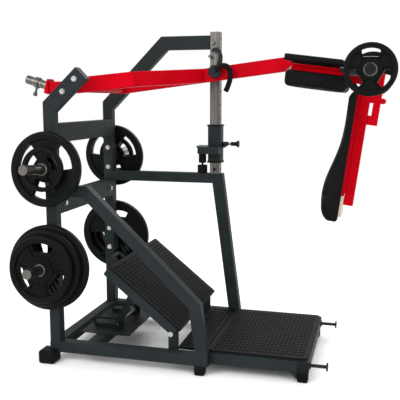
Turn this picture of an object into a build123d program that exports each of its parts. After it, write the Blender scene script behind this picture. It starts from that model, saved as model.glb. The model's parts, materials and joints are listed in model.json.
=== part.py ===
from build123d import *
import math
import os

# Lever squat machine. Working frame while modelling: X = 0 at the front faces of the two rear
# uprights, +X towards the platform, Y = 0 at mid-width, Z = 0 on the floor. Everything is moved
# at the end so that the origin is the bottom centre of the whole machine. Millimetres.

# ---- box section steel -------------------------------------------------------------------------
TUBE = 60                 # square tube of uprights, base and braces
WALL = 3
CORNER = 5                # outside corner radius of a tube
SIDE_OUT = 423            # outer face of the side frames, from mid-width
SIDE_IN = SIDE_OUT - TUBE
DEEP_TUBE = 80            # depth of the tubes above the pivot, and of the arm

# ---- rear tower --------------------------------------------------------------------------------
BASE_LOW, BASE_TOP = 53, 113
UPRIGHT_TOP = 1397
STUB_ANGLE = 43
STUB_LENGTH = 255
DIAGONAL_TOP = 1786
MID_TOP = 964
MID_LOW = MID_TOP - TUBE
CROSSBAR = (1185, 1286)
CROSS_MEMBER = (806, 912)

# ---- post --------------------------------------------------------------------------------------
POST_X = 634
POST_TOP = 1806
HOLE_PITCH = 78
FIRST_HOLE_Z = 988
HOLE_R = 8.5
CATCH_PIN_X, CATCH_PIN_Z = 640, 1662
TOP_BOLT_Z = 1742

# ---- front leg, brace and strut ----------------------------------------------------------------
BRACE_BEND = 174
KNEE = (781, 379)
LEG_FRONT = 818
LEG_WIDTH = 68
STRUT_TOP_FRONT = 712
STRUT_FOOT_FRONT = 827
STRUT_WIDTH = 70

# ---- platform ----------------------------------------------------------------------------------
PLATFORM_HALF = 375
PLATFORM_FRONT = 1330
DECK_T = 4
MAT_T = 9
MAT_SPLIT = 802
REAR_MAT_BACK = 640

# ---- press arm ---------------------------------------------------------------------------------
PIVOT_X, PIVOT_Z = 90, 1482
ARM_RISE = 0.125          # rise of the arm for each unit forward, at rest
SHAFT_R = 12
ARM_WIDTH = 50
ARM_FAR_Y = 300
ARM_NEAR_Y = -318
AXLE_R = 15
TORQUE_R = 36
HUB_X, HUB_Z = 688, 1570
LEVER_R = 13
CLAW_RELEASE = 24         # the claw is stored this far from holding the catch pin
ELBOW_X = 1112

# ---- shoulder carriage -------------------------------------------------------------------------
TILT = 7.3                # carriage leans so that its top is further from the tower
HEAD_X, HEAD_Z = 1575, 1548
PEG_R = 25
ARM_PEG_TIP = 405
CROSS_HALF = 290
ELBOW_END_Y, ELBOW_END_Z = 262, -24
FLANGE_T = 12
CROSS = 70                # square tube across the head
SPINE = 660
PAD_LENGTH, PAD_WIDTH, PAD_THICK = 308, 128, 84
PAD_X, PAD_Y, PAD_Z, PAD_ROLL = -258, 138, -70, 13
PAD_BOARD_T = 10
SPINE_BACK, SPINE_FRONT = -33, 18
BACK_BOARD_T = 12
HANDLE_Y, HANDLE_Z, HANDLE_TIP = 140, 22, -432
GRIP_LENGTH = 292
BACK_WIDTH = 300

# ---- stop carriage on the post -----------------------------------------------------------------
SLEEVE = 80
SLEEVE_Z = (1040, 1250)
FLANGE_Z = 1131
BUMPER_X = 581
PIN_Z = FIRST_HOLE_Z + 2 * HOLE_PITCH

# ---- footplate ---------------------------------------------------------------------------------
FOOT_ANGLE = 39
HINGE_X, HINGE_Z = 614, 200
FOOT_HALF = 380
FOOT_LOW_END, FOOT_HIGH_END = 26, -475    # along the slope, from the hinge
BAR_MID, BAR_DEPTH, BAR_T = 15.5, 45, 26
PLATE_T = 4
BOLT_R = 8
PROP_RUN = 330
PROP_FOOT_X, PROP_FOOT_Z = 230, 150
PROP_Y = 150
PROP_LUG = (PROP_Y + 4.5, PROP_Y + 12.5)
TRAY = (40, 330)
TRAY_HALF = 250
GUIDE_BACK, GUIDE_FRONT = 74, 256

# ---- counterweight tail ------------------------------------------------------------------------
TAIL_X = -224
TAIL_TILT = 16.5
TAIL_FREE = 55

# ---- weight storage ----------------------------------------------------------------------------
PEG_TILT = 4.5
PEG_X = -28
PEG_ROOT_Z = (1050, 533)
PEG_LENGTH = 281
PEG_COLLAR = 21

parts = {}


def prism(points, y_low, y_high):
    """Extrude a closed outline given in X and Z between two Y planes."""
    face = make_face(Plane.XZ * Polyline(*points, close=True))
    return Pos(0, y_high, 0) * extrude(face, amount=y_high - y_low, dir=(0, -1, 0))


def along(shape, direction):
    """Edges of a shape that run in one direction."""
    return [e for e in shape.edges()
            if e.geom_type == GeomType.LINE and abs(e.tangent_at(0).dot(direction)) > 0.9999]


def tube(points, y_low, y_high, wall=WALL, corner=CORNER):
    """Open-ended box tube. Points are its outline in X and Z: one long side, then the other."""
    (ax, az), (bx, bz), _, (dx, dz) = points
    run = Vector(bx - ax, 0, bz - az).normalized()
    side = Vector(-run.Z, 0, run.X)
    depth = abs(Vector(dx - ax, 0, dz - az).dot(side))
    solid = prism(points, y_low, y_high)
    solid = fillet(along(solid, run), corner)
    mid = Vector(sum(p[0] for p in points) / 4, (y_low + y_high) / 2, sum(p[1] for p in points) / 4)
    bore = Box(4000, y_high - y_low - 2 * wall, depth - 2 * wall)
    return solid - Plane(origin=mid, x_dir=run, z_dir=side) * bore


def cross_tube(x, z, y_low, y_high, wall=WALL, corner=CORNER):
    """Open-ended box tube along Y. x and z are its low and high faces."""
    size = (x[1] - x[0], y_high - y_low, z[1] - z[0])
    solid = fillet(Box(*size).edges().filter_by(Axis.Y), corner)
    bore = Box(size[0] - 2 * wall, size[1] + 2, size[2] - 2 * wall)
    return Pos((x[0] + x[1]) / 2, (y_low + y_high) / 2, (z[0] + z[1]) / 2) * (solid - bore)


def rod_y(x, z, radius, y_low, y_high):
    """Round bar along Y."""
    length = y_high - y_low
    return Pos(x, (y_low + y_high) / 2, z) * Rot(90, 0, 0) * Cylinder(radius, length)


def rod_x(y, z, radius, x_low, x_high):
    """Round bar along X."""
    return Pos((x_low + x_high) / 2, y, z) * Rot(0, 90, 0) * Cylinder(radius, x_high - x_low)


def rod(start, end, radius):
    """Round bar between two points."""
    a, b = Vector(*start), Vector(*end)
    plane = Plane(origin=(a + b) * 0.5, z_dir=(b - a))
    return plane * Cylinder(radius, (b - a).length)


def both(shape):
    """A shape and its mirror image on the other side."""
    return [shape, mirror(shape, about=Plane.XZ)]


def hex_head(plane, across=24, height=10):
    """Bolt head standing on a plane, with a washer under it."""
    washer = Pos(0, 0, 1.2) * Cylinder(across * 0.62, 2.4)
    head = Pos(0, 0, 2.4) * extrude(RegularPolygon(across / 2, 6, major_radius=False), amount=height)
    return plane * (washer + head)


def add(name, *solids):
    """Record a node as one solid or a group of separate solids."""
    parts[name] = list(solids)


# ================================================================================================
# frame
# ================================================================================================
def uprights():
    """Two uprights, and the short sloping tube on the near one that carries the pivot."""
    outline = [(0, BASE_TOP), (0, UPRIGHT_TOP + TUBE - DEEP_TUBE * math.sqrt(2)),
               (-TUBE, UPRIGHT_TOP), (-TUBE, BASE_TOP)]
    angle = math.radians(STUB_ANGLE)
    run = (math.cos(angle), math.sin(angle))
    down = (math.sin(angle), -math.cos(angle))
    end = (-TUBE + run[0] * STUB_LENGTH, UPRIGHT_TOP + run[1] * STUB_LENGTH)
    low_end = (end[0] + down[0] * DEEP_TUBE, end[1] + down[1] * DEEP_TUBE)
    back = -low_end[0] / run[0]
    low_start = (0, low_end[1] + run[1] * back)
    stub = [(-TUBE, UPRIGHT_TOP), end, low_end, low_start]
    near = [*outline[:1], low_start, *outline[2:]]
    add("uprights", tube(near, -SIDE_OUT, -SIDE_IN), tube(stub, -SIDE_OUT, -SIDE_IN),
        tube(outline, SIDE_IN, SIDE_OUT))


def far_upper_frame():
    """Sloping tube and top beam of the far side frame."""
    rise = DIAGONAL_TOP - UPRIGHT_TOP
    corner = (-TUBE + rise, DIAGONAL_TOP)
    slant = DEEP_TUBE * math.sqrt(2)
    low_corner = (corner[0] + slant - DEEP_TUBE, DIAGONAL_TOP - DEEP_TUBE)
    low_start = (0, UPRIGHT_TOP + TUBE - slant)
    diagonal = [(-TUBE, UPRIGHT_TOP), corner, low_corner, low_start]
    beam = [corner, (POST_X, DIAGONAL_TOP), (POST_X, DIAGONAL_TOP - DEEP_TUBE), low_corner]
    add("far_top_frame", tube(diagonal, SIDE_IN, SIDE_OUT), tube(beam, SIDE_IN, SIDE_OUT))


def cross_members():
    """Two tubes across the tower."""
    add("tower_crossbars", *[cross_tube((-TUBE, 0), z, -SIDE_IN, SIDE_IN)
                             for z in (CROSSBAR, CROSS_MEMBER)])


def far_lower_frame():
    """Level beam and sloping strut of the far side frame."""
    slope = (STRUT_FOOT_FRONT - STRUT_TOP_FRONT) / (MID_TOP - BASE_TOP)
    inner = STRUT_TOP_FRONT - STRUT_WIDTH + slope * TUBE
    beam = [(0, MID_TOP), (STRUT_TOP_FRONT, MID_TOP), (inner, MID_LOW), (0, MID_LOW)]
    strut = [(STRUT_TOP_FRONT, MID_TOP), (STRUT_FOOT_FRONT, BASE_TOP),
             (STRUT_FOOT_FRONT - STRUT_WIDTH, BASE_TOP), (inner, MID_LOW)]
    add("far_side_frame", tube(beam, SIDE_IN, SIDE_OUT), tube(strut, SIDE_IN, SIDE_OUT))


def near_brace():
    """Level stub, sloping brace and front leg on the near side."""
    run = Vector(KNEE[0] - BRACE_BEND, KNEE[1] - MID_TOP).normalized()
    low_bend = (BRACE_BEND - TUBE * math.tan(math.atan2(-run.Y, run.X) / 2), MID_LOW)
    knee_x = KNEE[0] - LEG_WIDTH + 8
    knee_in = (knee_x, low_bend[1] + run.Y / run.X * (knee_x - low_bend[0]))
    lean = (LEG_FRONT - KNEE[0]) / (KNEE[1] - BASE_TOP)
    foot_x = knee_in[0] + lean * (knee_in[1] - BASE_TOP)
    stub = [(0, MID_TOP), (BRACE_BEND, MID_TOP), low_bend, (0, MID_LOW)]
    brace = [(BRACE_BEND, MID_TOP), KNEE, knee_in, low_bend]
    leg = [KNEE, (LEG_FRONT, BASE_TOP), (foot_x, BASE_TOP), knee_in]
    add("near_brace", *[tube(outline, -SIDE_OUT, -SIDE_IN) for outline in (stub, brace, leg)])


def base():
    """Side and cross tubes of the base, and the platform in front of it."""
    end = LEG_FRONT + 2
    side = [(-TUBE, BASE_TOP), (end, BASE_TOP), (end, BASE_LOW), (-TUBE, BASE_LOW)]
    add("base_side_tubes", tube(side, -SIDE_OUT, -SIDE_IN), tube(side, SIDE_IN, SIDE_OUT))
    guide_mid = (GUIDE_BACK + GUIDE_FRONT) / 2
    level = (BASE_LOW, BASE_TOP)
    add("base_cross_tubes", *[cross_tube((x - TUBE / 2, x + TUBE / 2), level, -SIDE_IN, SIDE_IN)
                              for x in (-TUBE / 2, guide_mid, LEG_FRONT - TUBE / 2)])
    front = PLATFORM_FRONT - TUBE
    rail = [(end, BASE_TOP), (front, BASE_TOP), (front, BASE_LOW), (end, BASE_LOW)]
    outer, inner = -PLATFORM_HALF, -PLATFORM_HALF + TUBE
    web = [(front, BASE_LOW), (front - 42, BASE_LOW), (front - 24, BASE_LOW - 10),
           (front - 8, BASE_LOW - 30), (front, BASE_LOW - 34)]
    add("platform_tubes", *both(tube(rail, outer, inner)), *both(prism(web, outer + 4, inner - 4)),
        cross_tube((front, PLATFORM_FRONT), level, -PLATFORM_HALF, PLATFORM_HALF))
    deck_back, deck_front = REAR_MAT_BACK + 6, PLATFORM_FRONT - 10
    deck = Pos((deck_back + deck_front) / 2, 0, BASE_TOP + DECK_T / 2) * Box(
        deck_front - deck_back, 2 * SIDE_IN - 6, DECK_T)
    tray = Pos(sum(TRAY) / 2, 0, BASE_TOP + DECK_T / 2) * Box(TRAY[1] - TRAY[0], 2 * TRAY_HALF, DECK_T)
    add("deck_plates", deck, tray)


def mat(x_low, x_high, half, radius):
    """Flat rubber mat with rounded corners, lying on the deck."""
    outline = RectangleRounded(x_high - x_low, 2 * half, radius)
    solid = extrude(Pos((x_low + x_high) / 2, 0, BASE_TOP + DECK_T) * outline, amount=MAT_T)
    return chamfer(solid.faces().sort_by(Axis.Z)[-1].edges(), 2)


def mats():
    """Front and rear mats of the platform."""
    add("front_mat", mat(MAT_SPLIT + 6, PLATFORM_FRONT - 8, SIDE_IN - 1, 24))
    add("rear_mat", mat(REAR_MAT_BACK + 6, MAT_SPLIT - 6, SIDE_IN - 6, 8))


def feet():
    """Rubber boots at the rear corners and pads under the base, all standing on the floor."""
    boot = Pos(-62, -SIDE_OUT - 6, 36) * fillet(Box(92, 96, 72).edges(), 14)
    room = Pos(-TUBE + 500, -SIDE_OUT + 500, BASE_LOW + 500) * Box(1000, 1000, 1000)
    add("rear_feet", *both(boot - room))
    pad = fillet(Box(56, 56, BASE_LOW).edges().filter_by(Axis.Z), 14)
    pad = fillet(pad.faces().sort_by(Axis.Z)[0].edges(), 10)
    places = ((LEG_FRONT - 44, -SIDE_OUT + TUBE / 2), (PLATFORM_FRONT - 32, -PLATFORM_HALF + TUBE / 2))
    pads = []
    for x, y in places:
        pads += both(Pos(x, y, BASE_LOW / 2) * pad)
    add("base_feet", *pads)


def band_pegs():
    """Two band pegs on the front face, each a rod with a disc at its tip."""
    solids = []
    for y in (-335, 335):
        peg = rod_x(y, 84, 9, PLATFORM_FRONT, PLATFORM_FRONT + 84)
        peg += rod_x(y, 84, 21, PLATFORM_FRONT + 84, PLATFORM_FRONT + 92)
        peg += rod_x(y, 84, 18, PLATFORM_FRONT, PLATFORM_FRONT + 6)
        solids.append(peg)
    add("band_pegs", *solids)


def post():
    """Bare steel post with a row of holes facing the platform."""
    solid = Pos(POST_X + TUBE / 2, SIDE_IN + TUBE / 2, (MID_TOP + POST_TOP) / 2) \
        * Box(TUBE, TUBE, POST_TOP - MID_TOP)
    solid = fillet(solid.edges().filter_by(Axis.Z), CORNER)
    solid -= Pos(POST_X + TUBE / 2, SIDE_IN + TUBE / 2, (MID_TOP + POST_TOP) / 2 - 4) \
        * Box(TUBE - 2 * WALL, TUBE - 2 * WALL, POST_TOP - MID_TOP)
    z = FIRST_HOLE_Z
    while z < POST_TOP - 20:
        solid -= rod_x(SIDE_IN + TUBE / 2, z, HOLE_R, POST_X + TUBE / 2, POST_X + TUBE + 5)
        z += HOLE_PITCH
    solid -= rod_y(POST_X + TUBE / 2, FIRST_HOLE_Z + 2, HOLE_R, SIDE_IN - 5, SIDE_IN + 20)
    add("post", solid)


def catch_pin():
    """Pin that the latch hook hangs on, and the bolt that holds the post to the top beam."""
    pin = rod_y(CATCH_PIN_X, CATCH_PIN_Z, 9, SIDE_IN - 33, SIDE_IN)
    inner = Plane(origin=(CATCH_PIN_X + 12, SIDE_IN, TOP_BOLT_Z), x_dir=(1, 0, 0), z_dir=(0, -1, 0))
    add("catch_pin", pin, hex_head(inner))


def bearing_blocks():
    """Pillow blocks on the inner faces of the side frames, bored for the pivot axle."""
    block = prism([(PIVOT_X - 36, PIVOT_Z - 30), (PIVOT_X + 36, PIVOT_Z - 30),
                   (PIVOT_X + 36, PIVOT_Z + 30), (PIVOT_X - 36, PIVOT_Z + 30)],
                  -SIDE_IN, -SIDE_IN + 12)
    block = Pos(PIVOT_X, 0, PIVOT_Z) * Rot(0, -45, 0) * Pos(-PIVOT_X, 0, -PIVOT_Z) * block
    block += rod_y(PIVOT_X, PIVOT_Z, 28, -SIDE_IN, -SIDE_IN + 12)
    block -= rod_y(PIVOT_X, PIVOT_Z, AXLE_R + 0.05, -SIDE_IN - 1, -SIDE_IN + 13)
    add("pivot_bearings", *both(block))


def frame_bolts():
    """Hexagon bolts of the side frames."""
    solids = []
    near_out = Plane(origin=(0, -SIDE_OUT, 0), x_dir=(1, 0, 0), z_dir=(0, -1, 0))
    for dx in (-1, 1):
        step = 46 * dx
        x = PIVOT_X + step * math.cos(math.radians(STUB_ANGLE))
        z = PIVOT_Z + step * math.sin(math.radians(STUB_ANGLE))
        solids.append(Pos(x, 0, z) * hex_head(near_out))
        inner = Plane(origin=(x, SIDE_OUT, z), x_dir=(1, 0, 0), z_dir=(0, 1, 0))
        solids.append(hex_head(inner))
    for z in PEG_ROOT_Z:
        for dz in (-61, 61):
            plane = Plane(origin=(PEG_X, SIDE_IN, z + dz), x_dir=(1, 0, 0), z_dir=(0, -1, 0))
            solids += both(hex_head(plane))
    for y in (-SIDE_IN + 46, SIDE_IN - 46):
        plane = Plane(origin=(0, y, sum(CROSS_MEMBER) / 2), x_dir=(0, 1, 0), z_dir=(1, 0, 0))
        solids.append(hex_head(plane))
    add("frame_bolts", *solids)


def storage_pegs():
    """Tilted weight pegs on the outer faces of the uprights, each with a flange and collar."""
    solids = []
    for z in PEG_ROOT_Z:
        flange = Pos(PEG_X, -SIDE_OUT - 4, z) * fillet(Box(56, 8, 170).edges().filter_by(Axis.Y), 8)
        tilt = Pos(PEG_X, -SIDE_OUT, z) * Rot(90 - PEG_TILT, 0, 0)
        collar = tilt * Pos(0, 0, PEG_COLLAR / 2) * Cylinder(36, PEG_COLLAR)
        barrel = tilt * Pos(0, 0, PEG_LENGTH / 2) * Cylinder(PEG_R - 0.2, PEG_LENGTH)
        wall = Pos(PEG_X, -SIDE_OUT + 30, z) * Box(200, 60, 200)
        solids += both(flange) + both(collar + barrel - wall - flange)
    add("storage_pegs", *solids)


def grip_plate(diameter, thickness):
    """Weight plate about the Z axis, back face at zero: rim, sunk web, hub and three grip holes."""
    r = diameter / 2
    rim_in = r * 0.80
    hub_r = max(r * 0.26, 44)
    web = thickness * 0.56
    disc = Cylinder(r, thickness)
    disc = fillet(disc.edges(), thickness * 0.32)
    sink = Cylinder(rim_in, thickness) - Cylinder(hub_r, thickness)
    disc -= Pos(0, 0, (thickness + web) / 2) * sink
    disc -= Pos(0, 0, -(thickness + web) / 2) * sink
    disc -= Cylinder(PEG_R + 0.3, thickness + 2)
    inner, outer = hub_r + (rim_in - hub_r) * 0.16, rim_in - 1
    half = 27
    arc_in = [(inner * math.cos(math.radians(a)), inner * math.sin(math.radians(a)))
              for a in (half * 1.25, 0, -half * 1.25)]
    arc_out = [(outer * math.cos(math.radians(a)), outer * math.sin(math.radians(a)))
               for a in (-half, 0, half)]
    edge = (ThreePointArc(*arc_in) + Line(arc_in[-1], arc_out[0]) + ThreePointArc(*arc_out)
            + Line(arc_out[-1], arc_in[0]))
    hole = extrude(make_face(edge), amount=thickness, both=True)
    hole = fillet(hole.edges().filter_by(Axis.Z), min(10, r * 0.06))
    for turn in (0, 120, 240):
        disc -= Rot(0, 0, turn) * hole
    return Pos(0, 0, thickness / 2) * disc


STACKS = {"upper": [(390, 44), (230, 32)], "lower": [(450, 48), (400, 44), (350, 40)]}
STACK_TURN = {"upper": 30, "lower": 85}
PLATE_GAP = 0.5
ARM_PLATE = (250, 34)
ARM_PLATE_TURN = 97


def stored_plates():
    """Weight plates resting against the collars of the storage pegs."""
    for name, z in zip(("upper", "lower"), PEG_ROOT_Z):
        level = PEG_COLLAR + PLATE_GAP
        near = []
        for diameter, thickness in STACKS[name]:
            plate = Rot(0, 0, STACK_TURN[name]) * grip_plate(diameter, thickness)
            near.append(Pos(PEG_X, -SIDE_OUT, z) * Rot(90 - PEG_TILT, 0, 0) * Pos(0, 0, level) * plate)
            level += thickness + PLATE_GAP
        add(f"near_{name}_plates", *near)
        add(f"far_{name}_plates", *[mirror(plate, about=Plane.XZ) for plate in near])


# ================================================================================================
# press arm
# ================================================================================================
def arm_z(x):
    """Height of the arm's centreline at x."""
    return PIVOT_Z + ARM_RISE * (x - PIVOT_X)


def keep_side(solid, point, normal):
    """The piece of a solid on the side of a plane that its normal points to."""
    return split(solid, bisect_by=Plane(origin=point, z_dir=normal), keep=Keep.TOP)


def slanted_tube(start, end):
    """Arm tube through two plan points, in the sloping plane of the arm, long at both ends."""
    a = Vector(*start, arm_z(start[0]))
    b = Vector(*end, arm_z(end[0]))
    up = Vector(-ARM_RISE, 0, 1).normalized()
    length = (b - a).length + 160
    solid = fillet(Box(length, ARM_WIDTH, DEEP_TUBE).edges().filter_by(Axis.X), CORNER)
    solid -= Box(length + 2, ARM_WIDTH - 2 * WALL, DEEP_TUBE - 2 * WALL)
    return Plane(origin=(a + b) * 0.5, x_dir=b - a, z_dir=up) * solid


def press_arm():
    """Near tube that bends across to the far side, and the straight far tube with its elbow."""
    torque = rod_y(PIVOT_X, PIVOT_Z, TORQUE_R, -SIDE_IN, SIDE_IN)
    start, bend, meet = (PIVOT_X, ARM_NEAR_Y), (345, -200), (610, ARM_FAR_Y)
    before = Vector(bend[0] - start[0], bend[1] - start[1]).normalized()
    after = Vector(meet[0] - bend[0], meet[1] - bend[1]).normalized()
    mitre = before + after
    first = keep_side(slanted_tube(start, bend), (*bend, 0), -mitre)
    first = keep_side(first, (PIVOT_X, 0, 0), (1, 0, 0)) - torque
    second = keep_side(slanted_tube(bend, meet), (*bend, 0), mitre)
    second = keep_side(second, (0, ARM_FAR_Y - ARM_WIDTH / 2, 0), (0, -1, 0))
    add("near_arm_tubes", first, second)
    low, high = ARM_FAR_Y - ARM_WIDTH / 2, ARM_FAR_Y + ARM_WIDTH / 2
    half = DEEP_TUBE / 2 * math.hypot(1, ARM_RISE)
    straight = tube([(PIVOT_X, PIVOT_Z + half), (ELBOW_X, arm_z(ELBOW_X) + half),
                     (ELBOW_X, arm_z(ELBOW_X) - half), (PIVOT_X, PIVOT_Z - half)], low, high)
    add("far_arm_tube", straight - torque - rod_y(HUB_X, HUB_Z, SHAFT_R + 0.05, low - 1, high + 1))
    a = Vector(ELBOW_X, ARM_FAR_Y, arm_z(ELBOW_X))
    b = carriage_point(-CROSS / 2, ELBOW_END_Y, ELBOW_END_Z)
    length = (b - a).length + 160
    elbow = fillet(Box(length, ARM_WIDTH, DEEP_TUBE).edges().filter_by(Axis.X), CORNER)
    elbow -= Box(length + 2, ARM_WIDTH - 2 * WALL, DEEP_TUBE - 2 * WALL)
    across = Vector(0, 1, 0)
    elbow = Plane(origin=(a + b) * 0.5, x_dir=b - a, z_dir=(b - a).cross(across)) * elbow
    elbow = keep_side(elbow, (ELBOW_X, 0, 0), (1, 0, 0))
    backward = carriage_point(-1, 0, 0) - carriage_point(0, 0, 0)
    add("elbow_tube", keep_side(elbow, carriage_point(-CROSS / 2, 0, 0), backward))


def arm_axle():
    """Round axle through both bearings with a torque tube around its middle."""
    add("pivot_axle", rod_y(PIVOT_X, PIVOT_Z, AXLE_R, -SIDE_IN + 2, SIDE_IN - 2))
    sleeve = rod_y(PIVOT_X, PIVOT_Z, TORQUE_R, ARM_NEAR_Y - 26, ARM_FAR_Y + 28)
    sleeve -= rod_y(PIVOT_X, PIVOT_Z, AXLE_R, ARM_NEAR_Y - 30, ARM_FAR_Y + 30)
    add("torque_tube", sleeve)


def tail():
    """Counterweight tail behind the pivot: red tube, flange, steel peg and a fixed collar."""
    beam = Pos((PIVOT_X + TAIL_X) / 2, 0, PIVOT_Z) * fillet(
        Box(PIVOT_X - TAIL_X, TUBE, TUBE).edges().filter_by(Axis.X), CORNER)
    beam -= rod_y(PIVOT_X, PIVOT_Z, TORQUE_R, -SIDE_IN, SIDE_IN)
    beam -= Pos(PIVOT_X + 50, 0, PIVOT_Z) * Box(100, 100, 100)
    tilt = Pos(TAIL_X, 0, PIVOT_Z) * Rot(0, -90 + TAIL_TILT, 0)
    clear = Pos(TAIL_X + 50, 0, PIVOT_Z) * Box(100, 200, 200)
    flange = tilt * Pos(0, 0, 5) * fillet(Box(84, 84, 22).edges().filter_by(Axis.Z), 8) - clear
    add("counterweight_tail", beam + flange)
    barrel = tilt * Pos(0, 0, 16 + 43) * Cylinder(PEG_R - 0.4, 86)
    tip = tilt * Pos(0, 0, 16 + 86 + TAIL_FREE / 2) * chamfer(
        Cylinder(PEG_R, TAIL_FREE).edges().sort_by(Axis.Z)[-1], 2)
    add("tail_peg", barrel + tip)
    ring = Pos(0, 0, 16 + 70) * (Cylinder(32, 24) - Cylinder(PEG_R - 0.4, 30))
    knob = Pos(-32 - 14, 0, 16 + 70) * Rot(0, 90, 0) * Cylinder(7, 30)
    knob += Pos(-32 - 36, 0, 16 + 70) * Rot(0, 90, 0) * fillet(Cylinder(12, 22).edges(), 4)
    add("tail_collar", tilt * (ring + knob))


def carriage(shape):
    """Move a shape from the shoulder carriage's own frame, centred on the weight pegs."""
    return Pos(HEAD_X, 0, HEAD_Z) * Rot(0, TILT, 0) * shape


def carriage_point(x, y, z):
    """A point of the shoulder carriage's own frame, in the machine's frame."""
    c, s = math.cos(math.radians(TILT)), math.sin(math.radians(TILT))
    return Vector(HEAD_X + x * c + z * s, y, HEAD_Z - x * s + z * c)


def carriage_head():
    """Red cross tube, hanging spine and the bracket behind it."""
    cross = fillet(Box(CROSS, 2 * CROSS_HALF, CROSS).edges().filter_by(Axis.Y), CORNER)
    cross -= Box(CROSS - 2 * WALL, 2 * CROSS_HALF + 2, CROSS - 2 * WALL)
    depth = SPINE_FRONT - SPINE_BACK
    spine = fillet(Box(depth, TUBE, SPINE).edges().filter_by(Axis.Z), CORNER)
    spine -= Box(depth - 2 * WALL, TUBE - 2 * WALL, SPINE + 2)
    spine = Pos(SPINE_BACK + depth / 2, 0, -CROSS / 2 - SPINE / 2) * spine
    bracket = Pos(45, 0, -133) * fillet(Box(54, 54, 266).edges().filter_by(Axis.Z), CORNER)
    bracket -= Pos(25, 0, -187) * Box(20, 60, 65)
    bracket += rod_y(83, -139, 14, -20, 20) + Pos(76, 0, -139) * Box(14, 40, 28)
    bracket -= Box(CROSS, 2 * CROSS_HALF, CROSS)
    add("carriage_frame", *[carriage(solid) for solid in (cross, spine, bracket)])


def shoulder_pads():
    """Two rounded pads on steel boards, rolled outwards like shoulders, with a gap for the neck."""
    boards = []
    for side, sign in (("near", -1), ("far", 1)):
        place = Pos(PAD_X, sign * PAD_Y, PAD_Z) * Rot(-sign * PAD_ROLL, 0, 0)
        pad = fillet(Box(PAD_LENGTH, PAD_WIDTH, PAD_THICK).edges(), 24)
        add(f"{side}_shoulder_pad", carriage(place * pad))
        board = Box(PAD_LENGTH - 40, PAD_WIDTH - 34, PAD_BOARD_T)
        board = fillet(board.edges().filter_by(Axis.Z), 14)
        boards.append(carriage(place * Pos(6, 0, (PAD_THICK + PAD_BOARD_T) / 2) * board))
    return boards


def handles():
    """Handle tubes that reach back over the shoulder pads, with rubber grips, and pad brackets."""
    root, inner = -CROSS / 2, HANDLE_TIP + 6
    tubes, grips = [], []
    for sign in (-1, 1):
        line = Pos(0, sign * HANDLE_Y, HANDLE_Z) * Rot(0, 90, 0)
        bar = line * Pos(0, 0, (root + inner) / 2) * Cylinder(14, root - inner)
        sleeve = fillet(Cylinder(17.5, GRIP_LENGTH).edges(), 4)
        tubes.append(carriage(bar))
        grips.append(carriage(line * Pos(0, 0, HANDLE_TIP + GRIP_LENGTH / 2) * sleeve - bar))
        reach, back, height = root - PAD_X, 110, 18
        place = Pos(PAD_X, sign * PAD_Y, PAD_Z) * Rot(-sign * PAD_ROLL, 0, 0)
        level = PAD_THICK / 2 + PAD_BOARD_T + height / 2
        bracket = place * Pos((reach + back) / 2, 0, level) * Box(reach - back, 40, height)
        tubes.append(carriage(bracket))
    add("handle_tubes", *tubes)
    add("handle_grips", *grips)


def back_pad():
    """Lumbar pad: straight back, thin at the top and full at the bottom, on a board."""
    front = [(-34, -14), (-33, -150), (-42, -276), (-67, -381), (-90, -480), (-93, -550), (-76, -650)]
    top, base = [(0, 0), (-22, 0)], [(-54, -668), (-8, -668), (0, -655)]
    outline = Spline(*front) + Polyline(front[-1], *base, *top, front[0])
    pad = extrude(make_face(Plane.XZ * outline), amount=BACK_WIDTH, dir=(0, -1, 0))
    rear = SPINE_BACK - BACK_BOARD_T
    add("back_pad", carriage(Pos(rear, BACK_WIDTH / 2, -106) * pad))
    board = fillet(Box(BACK_BOARD_T, BACK_WIDTH - 40, 600).edges().filter_by(Axis.X), 30)
    return carriage(Pos(rear + BACK_BOARD_T / 2, 0, -446) * board)


def pads():
    """Pads and the boards behind them."""
    add("shoulder_boards", *shoulder_pads())
    add("back_board", back_pad())


def arm_pegs():
    """Weight pegs on both ends of the carriage's cross tube."""
    inner = CROSS_HALF
    peg = rod_y(0, 0, PEG_R, -ARM_PEG_TIP, -inner) + rod_y(0, 0, 40, -inner - FLANGE_T, -inner)
    add("arm_weight_pegs", *[carriage(s) for s in both(peg)])
    cap = rod_y(0, 0, PEG_R - 0.4, -ARM_PEG_TIP - 5, -ARM_PEG_TIP)
    add("arm_peg_caps", *[carriage(s) for s in both(cap)])
    diameter, thickness = ARM_PLATE
    seat = inner + FLANGE_T + PLATE_GAP
    turned = Rot(0, 0, ARM_PLATE_TURN) * grip_plate(diameter, thickness)
    plate = Pos(0, -seat, 0) * Rot(90, 0, 0) * turned
    add("near_arm_plate", carriage(plate))
    add("far_arm_plate", carriage(mirror(plate, about=Plane.XZ)))


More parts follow.
